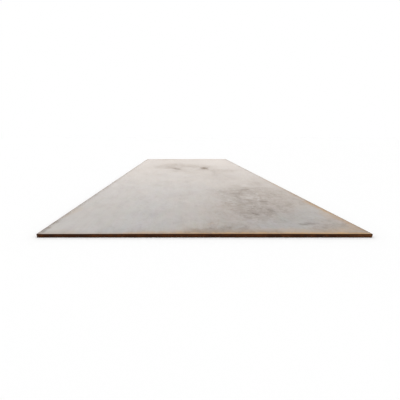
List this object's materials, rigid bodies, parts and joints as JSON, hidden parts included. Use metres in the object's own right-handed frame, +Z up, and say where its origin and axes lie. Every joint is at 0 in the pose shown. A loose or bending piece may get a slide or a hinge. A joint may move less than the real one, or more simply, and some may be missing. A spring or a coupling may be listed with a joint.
{
  "type": "steel plate",
  "caption": "Long flat hot-rolled steel plate with sheared long edges and torch-cut ends, for cutting, bending, welding or laying flat.",
  "frame": {"origin": "centre of the underside, on the surface that the plate lies on", "axes": "+X across the width, +Y along the length, which is the rolling direction, +Z up through the thickness"},
  "size_m": [2, 6, 0.022],
  "materials": {
    "hot_rolled_steel": "matte"
  },
  "bodies": {
    "root": {"plate": "hot_rolled_steel"}
  },
  "joints": []
}
